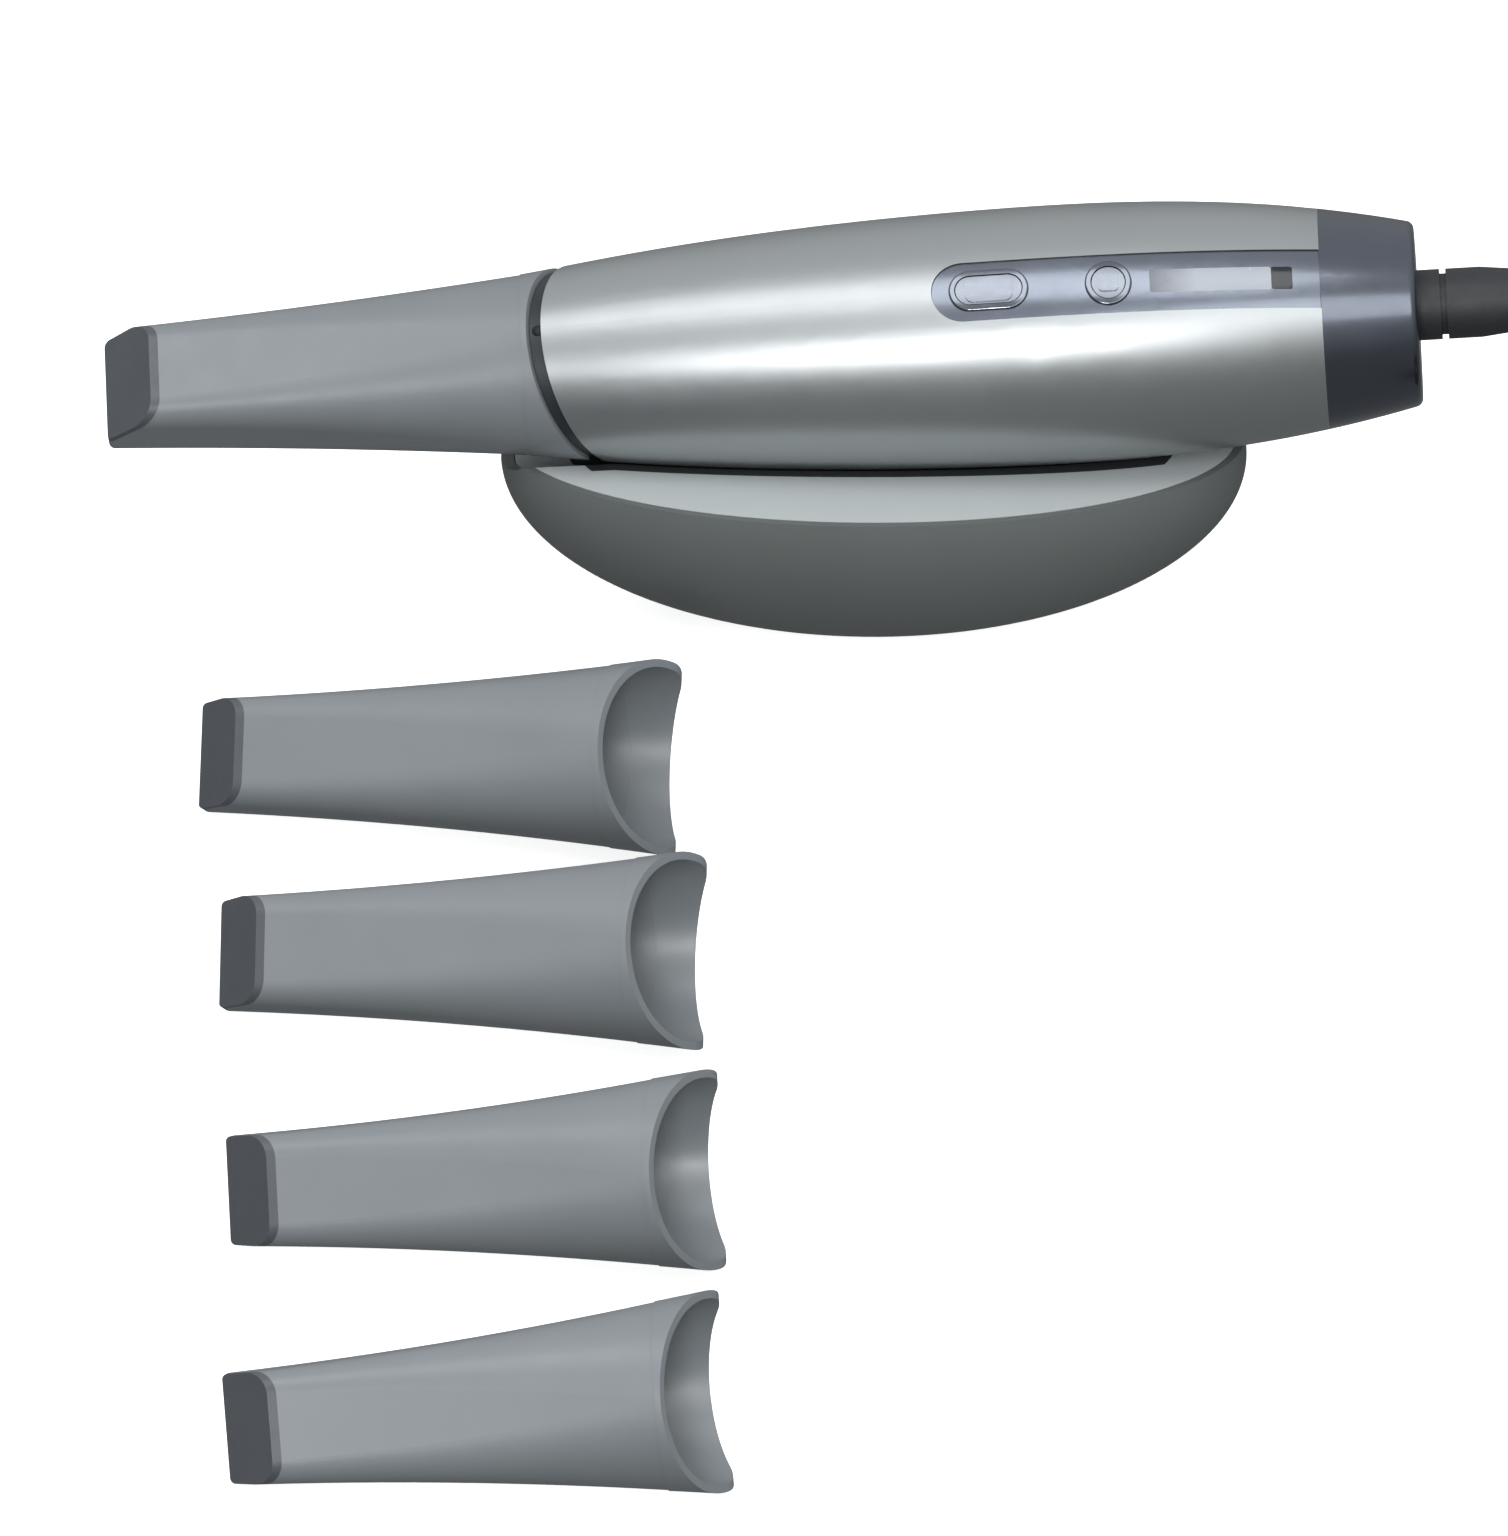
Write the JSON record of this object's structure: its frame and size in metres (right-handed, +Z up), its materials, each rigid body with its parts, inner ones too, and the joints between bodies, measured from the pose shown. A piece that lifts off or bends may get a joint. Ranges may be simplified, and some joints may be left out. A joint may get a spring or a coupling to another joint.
{
  "type": "intraoral scanner with cradle",
  "caption": "Cabled intraoral optical scanner handset lying in an oval desk cradle, with a slide-off mirror tip and spare tips beside it.",
  "frame": {"origin": "centre of the cradle's rubber foot, on the table", "axes": "+Z up; +X along the cradle towards the cable end; the buttons are turned towards -Y"},
  "size_m": [0.3473, 0.3808, 0.0828],
  "materials": {
    "cradle_grey": "satin moulded plastic, dark grey",
    "cradle_silver": "satin silver paint",
    "seat_rubber": "black silicone rubber",
    "steel": "zinc plated steel",
    "cable_black": "soft cable jacket",
    "plug_shell": "nickel plated plug shell",
    "plug_insert": "moulded contact carrier",
    "relief_grey": "ribbed dark strain relief",
    "casing_silver": "satin metallic silver paint",
    "panel_slate": "gloss bluish silver strip",
    "bezel_chrome": "bright ring",
    "indicator_lens": "frosted light guide",
    "sensor_dark": "smoked window",
    "seam_black": "black moulded collar",
    "ring_rubber": "black ring",
    "barrel_black": "black anodised",
    "window_glass": "coated window",
    "aluminium": "machined",
    "module_black": "black housing",
    "circuit_board": "green solder mask",
    "chip_black": "moulded chips",
    "brass": "turned",
    "cap_slate": "dark slate gloss",
    "button_silver": "gloss silver",
    "tip_grey": "satin grey autoclavable plastic",
    "cover_grey": "dark grey cover",
    "mirror": "front surface mirror"
  },
  "bodies": {
    "cradle": {"cradle_shell": "cradle_grey", "cradle_top": "cradle_silver", "seat_pad": "seat_rubber", "cradle_weight": "steel", "foot_pad": "seat_rubber", "cradle_screws": "steel", "cord_coil": "cable_black", "plug_grip": "cable_black", "plug_tongue": "plug_shell", "plug_insert": "plug_insert"},
    "handset": {"casing_near_half": "casing_silver", "casing_far_half": "casing_silver", "casing_screws": "steel", "control_panel": "panel_slate", "scan_bezel": "bezel_chrome", "mode_bezel": "bezel_chrome", "indicator_light": "indicator_lens", "sensor_window": "sensor_dark", "nose_collar": "seam_black", "holding_ring": "ring_rubber", "optics_barrel": "barrel_black", "nose_window": "window_glass", "chassis": "aluminium", "camera_module": "module_black", "projector_module": "module_black", "main_board": "circuit_board", "board_chips": "chip_black", "board_standoffs": "brass", "button_board": "circuit_board", "button_switches": "chip_black", "heat_sink": "aluminium", "rear_cap": "cap_slate", "strain_relief": "relief_grey", "cord_tube": "cable_black"},
    "scan_button": {"scan_button": "button_silver"},
    "mode_button": {"mode_button": "button_silver"},
    "tip": {"tip_sleeve": "tip_grey", "tip_mirror": "mirror", "tip_cover": "cover_grey"},
    "spare_tip_1": {"spare_1_sleeve": "tip_grey", "spare_1_mirror": "mirror", "spare_1_cover": "cover_grey"},
    "spare_tip_2": {"spare_2_sleeve": "tip_grey", "spare_2_mirror": "mirror", "spare_2_cover": "cover_grey"},
    "spare_tip_3": {"spare_3_sleeve": "tip_grey", "spare_3_mirror": "mirror", "spare_3_cover": "cover_grey"},
    "spare_tip_4": {"spare_4_sleeve": "tip_grey", "spare_4_mirror": "mirror", "spare_4_cover": "cover_grey"}
  },
  "joints": [
    {"name": "handset_lift", "type": "slide", "parent": "cradle", "child": "handset", "axis": [0, 0, 1], "range_m": [0, 0.1]},
    {"name": "tip_pull", "type": "slide", "parent": "handset", "child": "tip", "axis": [-0.9978, 0, -0.0663], "range_m": [0, 0.07]},
    {"name": "scan_press", "type": "slide", "parent": "handset", "child": "scan_button", "axis": [0.0519, 0.6225, -0.7809], "range_m": [0, 0.0005], "stiffness_N_per_m": 2000, "springref_m": -0.0005},
    {"name": "mode_press", "type": "slide", "parent": "handset", "child": "mode_button", "axis": [0.0519, 0.6225, -0.7809], "range_m": [0, 0.0005], "stiffness_N_per_m": 2000, "springref_m": -0.0005},
    {"name": "spare_1_lift", "type": "slide", "parent": "cradle", "child": "spare_tip_1", "axis": [0, 0, 1], "range_m": [0, 0.08]},
    {"name": "spare_2_lift", "type": "slide", "parent": "cradle", "child": "spare_tip_2", "axis": [0, 0, 1], "range_m": [0, 0.08]},
    {"name": "spare_3_lift", "type": "slide", "parent": "cradle", "child": "spare_tip_3", "axis": [0, 0, 1], "range_m": [0, 0.08]},
    {"name": "spare_4_lift", "type": "slide", "parent": "cradle", "child": "spare_tip_4", "axis": [0, 0, 1], "range_m": [0, 0.08]}
  ]
}
